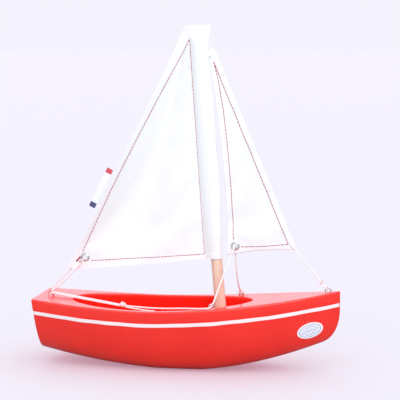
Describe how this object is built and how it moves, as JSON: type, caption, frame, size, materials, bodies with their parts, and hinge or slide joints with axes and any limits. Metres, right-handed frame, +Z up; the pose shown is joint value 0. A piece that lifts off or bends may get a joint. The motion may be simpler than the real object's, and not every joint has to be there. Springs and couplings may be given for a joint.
{
  "type": "model sailing ship",
  "caption": "Toy sailing boat with a carved wooden hull, a raked mast, a swinging mainsail and jib, and one trimming cord with a sliding knot.",
  "frame": {"origin": "on the surface that the boat stands on, under the middle of its length, on the centre plane", "axes": "+X towards the bow, +Y to port, +Z up; the masthead is the highest point"},
  "size_m": [0.22, 0.0662, 0.243],
  "materials": {
    "red_paint": "glossy red lacquer over carved solid wood",
    "slug_steel": "sawn bar",
    "white_tape": "satin vinyl line tape",
    "sticker_film": "printed gloss film",
    "beech": "bare sanded beech",
    "sailcloth": "plain woven white cotton",
    "red_thread": "twisted sewing thread",
    "ribbon": "woven ribbon with a red and a navy block",
    "eyelet_nickel": "nickel plated",
    "screw_eye_steel": "zinc plated wire",
    "cord": "braided white cotton cord"
  },
  "bodies": {
    "hull": {"hull": "red_paint", "ballast_slugs": "slug_steel", "ballast_plugs": "red_paint", "stripe_starboard": "white_tape", "stripe_port": "white_tape", "bow_sticker": "sticker_film", "mast": "beech", "bow_eye": "screw_eye_steel", "stern_eye": "screw_eye_steel", "starboard_eye": "screw_eye_steel", "port_eye": "screw_eye_steel", "jib_sheet_port": "cord", "port_sheet_knot": "cord", "jib_sheet_starboard": "cord", "deck_line": "cord", "main_sheet": "cord", "return_strand": "cord"},
    "mainsail": {"mainsail": "sailcloth", "mainsail_stitching": "red_thread", "mainsail_eyelet": "eyelet_nickel", "mainsail_washer": "eyelet_nickel", "leech_tab": "ribbon", "jib_head_loop": "cord"},
    "jib": {"jib": "sailcloth", "jib_stitching": "red_thread", "jib_eyelet": "eyelet_nickel", "jib_washer": "eyelet_nickel", "tack_lashing": "cord", "tack_knot": "cord", "bow_loop": "cord"},
    "slider": {"slider_knot": "cord", "line_tail": "cord"}
  },
  "joints": [
    {"name": "mainsail_swing", "type": "hinge", "parent": "hull", "child": "mainsail", "pos_m": [0.0265, 0, 0.02], "axis": [-0.0828, 0, 0.9966], "range_deg": [-40, 40], "deforming": ["main_sheet", "jib_head_loop"]},
    {"name": "jib_swing", "type": "hinge", "parent": "hull", "child": "jib", "pos_m": [0.1015, 0, 0.05761], "axis": [-0.4539, 0, 0.891], "range_deg": [-35, 35], "deforming": ["jib_sheet_port", "jib_sheet_starboard"]},
    {"name": "knot_slide", "type": "slide", "parent": "hull", "child": "slider", "axis": [0.9716, -0.2191, -0.0897], "range_m": [-0.025, 0], "deforming": ["return_strand"]}
  ]
}
